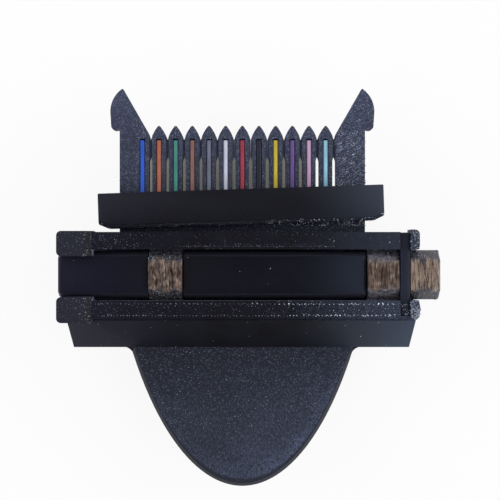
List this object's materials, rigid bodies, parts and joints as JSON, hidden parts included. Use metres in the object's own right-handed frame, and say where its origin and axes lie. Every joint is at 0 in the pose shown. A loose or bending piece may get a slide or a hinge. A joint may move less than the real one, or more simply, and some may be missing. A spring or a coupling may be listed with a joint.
{
  "type": "bare fibre sorting clip",
  "caption": "Spring clip with a colour-coded comb that holds bare optical fibres in order for splicing, with a sliding keeper, a hinged rear lever and a thumb tongue.",
  "frame": {"origin": "on the flat back that the clip rests on, under the middle of the comb and of the hinge pin", "axes": "+X along the hinge pin towards its head, +Y from the thumb tongue to the comb, +Z out of the front"},
  "size_m": [0.0562, 0.0596, 0.0188],
  "materials": {
    "grained_black": "printed plastic with a fine sandy grain",
    "satin_black": "smooth satin printed plastic",
    "streaked_brown": "rough, streaked round the barrel",
    "spring_steel": "drawn wire",
    "mark_blue": "smooth coloured filament",
    "mark_orange": "smooth coloured filament",
    "mark_green": "smooth coloured filament",
    "mark_brown": "smooth coloured filament",
    "mark_slate": "smooth coloured filament",
    "mark_white": "smooth coloured filament",
    "mark_red": "smooth coloured filament",
    "mark_black": "smooth coloured filament",
    "mark_yellow": "smooth coloured filament",
    "mark_violet": "smooth coloured filament",
    "mark_rose": "smooth coloured filament",
    "mark_aqua": "smooth coloured filament"
  },
  "bodies": {
    "clip": {"front_body": "grained_black", "hinge_pin": "streaked_brown", "left_bearing_block": "streaked_brown", "right_bearing_block": "streaked_brown", "retaining_clip": "satin_black", "return_spring": "spring_steel", "colour_mark_blue": "mark_blue", "colour_mark_orange": "mark_orange", "colour_mark_green": "mark_green", "colour_mark_brown": "mark_brown", "colour_mark_slate": "mark_slate", "colour_mark_white": "mark_white", "colour_mark_red": "mark_red", "colour_mark_black": "mark_black", "colour_mark_yellow": "mark_yellow", "colour_mark_violet": "mark_violet", "colour_mark_rose": "mark_rose", "colour_mark_aqua": "mark_aqua"},
    "lever": {"rear_lever": "satin_black"},
    "keeper": {"keeper_bar": "satin_black"}
  },
  "joints": [
    {"name": "lever_hinge", "type": "hinge", "parent": "clip", "child": "lever", "pos_m": [0, 0, 0.0147], "axis": [-1, 0, 0], "range_deg": [0, 12], "stiffness_Nm_per_rad": 0.05, "springref_deg": -28.65, "deforming": ["return_spring"]},
    {"name": "keeper_slide", "type": "slide", "parent": "clip", "child": "keeper", "axis": [0, 1, 0], "range_m": [0, 0.008]}
  ]
}
